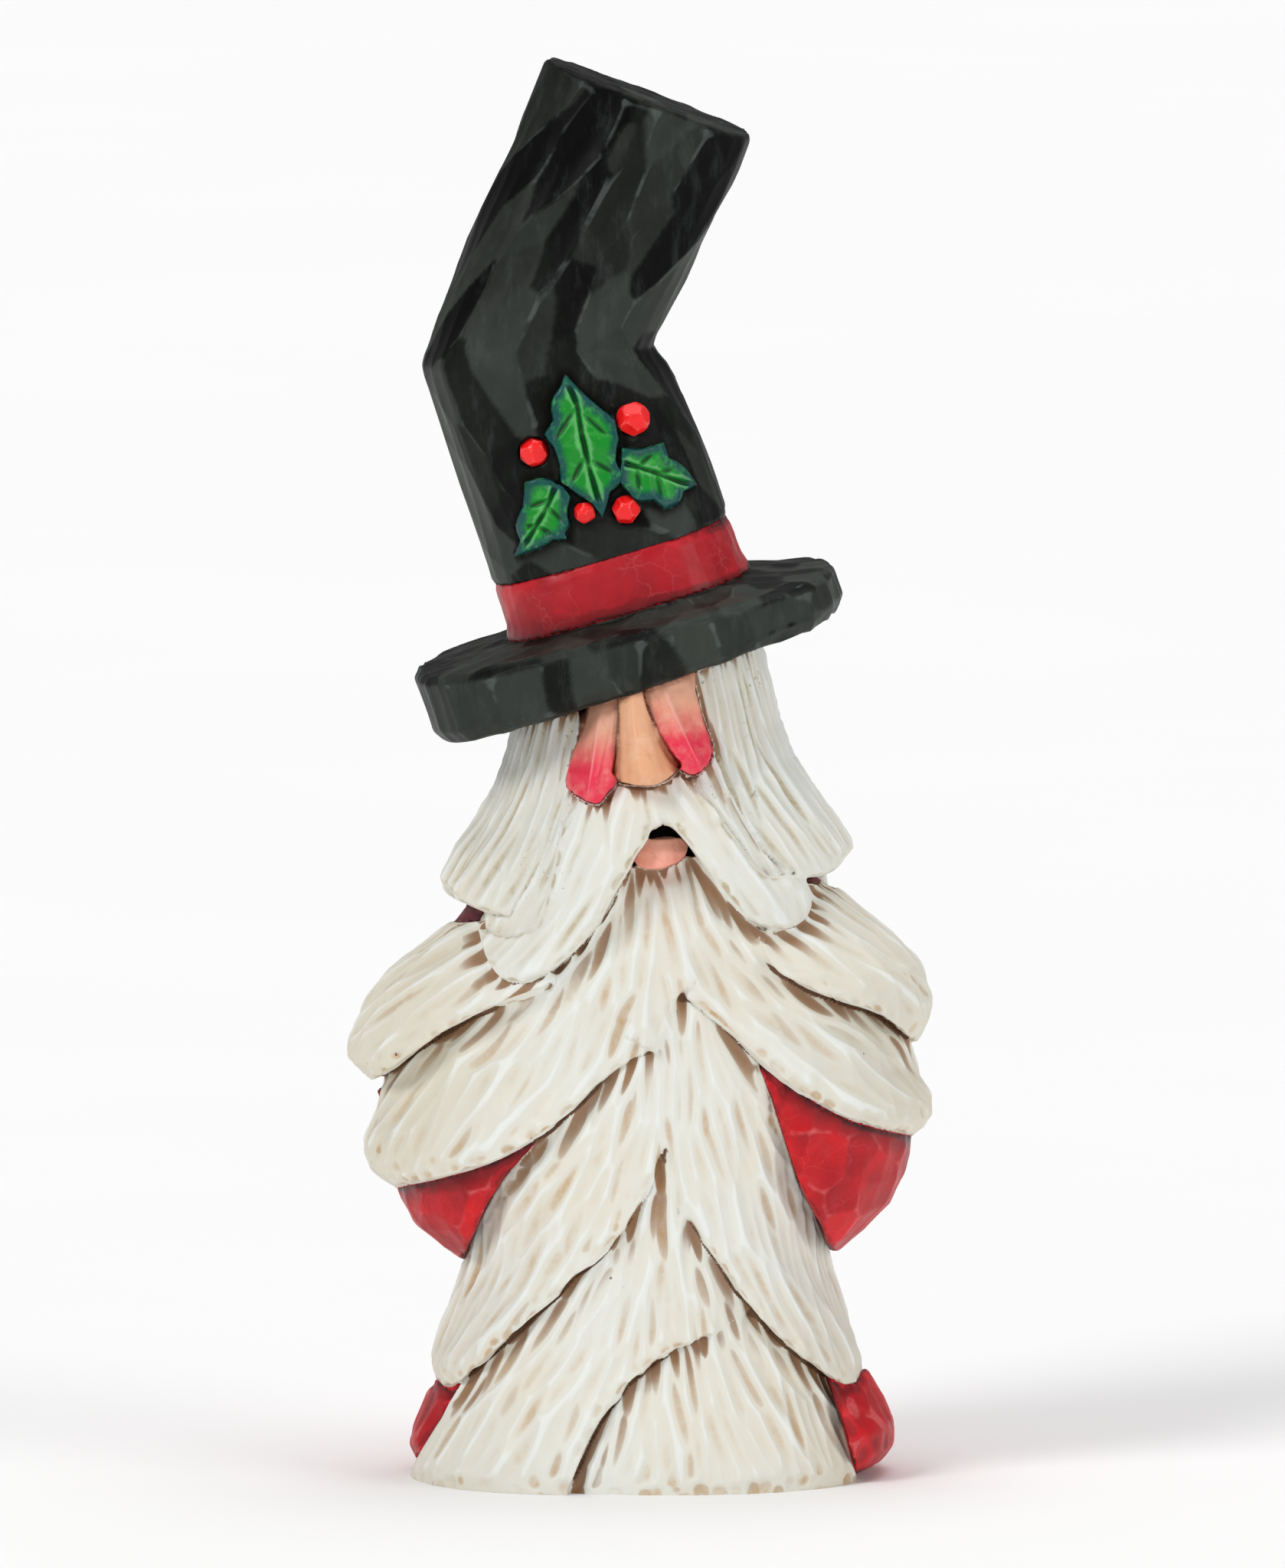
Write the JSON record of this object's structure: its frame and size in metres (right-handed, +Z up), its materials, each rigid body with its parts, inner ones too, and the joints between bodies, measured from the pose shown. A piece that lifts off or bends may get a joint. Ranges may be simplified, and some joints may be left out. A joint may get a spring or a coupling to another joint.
{
  "type": "gnome figurine",
  "caption": "Standing carved gnome ornament with a long beard in overlapping locks, a red coat, and a bent black top hat with a red band and holly.",
  "frame": {"origin": "centre of the flat face the figure rests on, on the axis of the round body core", "axes": "+Z up, -Y the way the face looks, +X to the right as seen from the front; left and right in node names are the viewer's"},
  "size_m": [0.1262, 0.0906, 0.3054],
  "materials": {
    "coat_red": "satin paint",
    "sleeve_red": "satin paint",
    "head_brown": "bare, stained dark",
    "dowel_wood": "bare wood",
    "nose_peach": "satin paint",
    "cheek_pink": "satin paint",
    "lip_salmon": "satin paint",
    "moustache_white": "matte paint with a brown wash",
    "hair_white": "matte paint with a brown wash",
    "beard_white": "matte paint with a brown wash",
    "hat_black": "satin paint over knife-cut facets",
    "band_red": "satin paint",
    "leaf_green": "satin paint",
    "berry_red": "gloss paint"
  },
  "bodies": {
    "root": {"coat_body": "coat_red", "left_sleeve": "sleeve_red", "right_sleeve": "sleeve_red", "head_block": "head_brown", "head_dowel": "dowel_wood", "hat_dowel": "dowel_wood", "nose": "nose_peach", "left_cheek": "cheek_pink", "right_cheek": "cheek_pink", "lower_lip": "lip_salmon", "left_moustache": "moustache_white", "right_moustache": "moustache_white", "left_sideburn": "hair_white", "right_sideburn": "hair_white", "beard_chin": "beard_white", "beard_left_shoulder": "beard_white", "beard_left_upper": "beard_white", "beard_left_middle": "beard_white", "beard_left_lower": "beard_white", "beard_centre_lower": "beard_white", "beard_right_middle": "beard_white", "beard_right_upper": "beard_white", "beard_right_shoulder": "beard_white", "left_hair": "hair_white", "right_hair": "hair_white", "left_back_hair": "hair_white", "centre_back_hair": "hair_white", "right_back_hair": "hair_white", "hat_brim": "hat_black", "hat_band": "band_red", "hat_crown": "hat_black", "holly_leaf_top": "leaf_green", "holly_leaf_left": "leaf_green", "holly_leaf_right": "leaf_green", "holly_berry_top": "berry_red", "holly_berry_left": "berry_red", "holly_berry_middle": "berry_red", "holly_berry_low": "berry_red"}
  },
  "joints": []
}
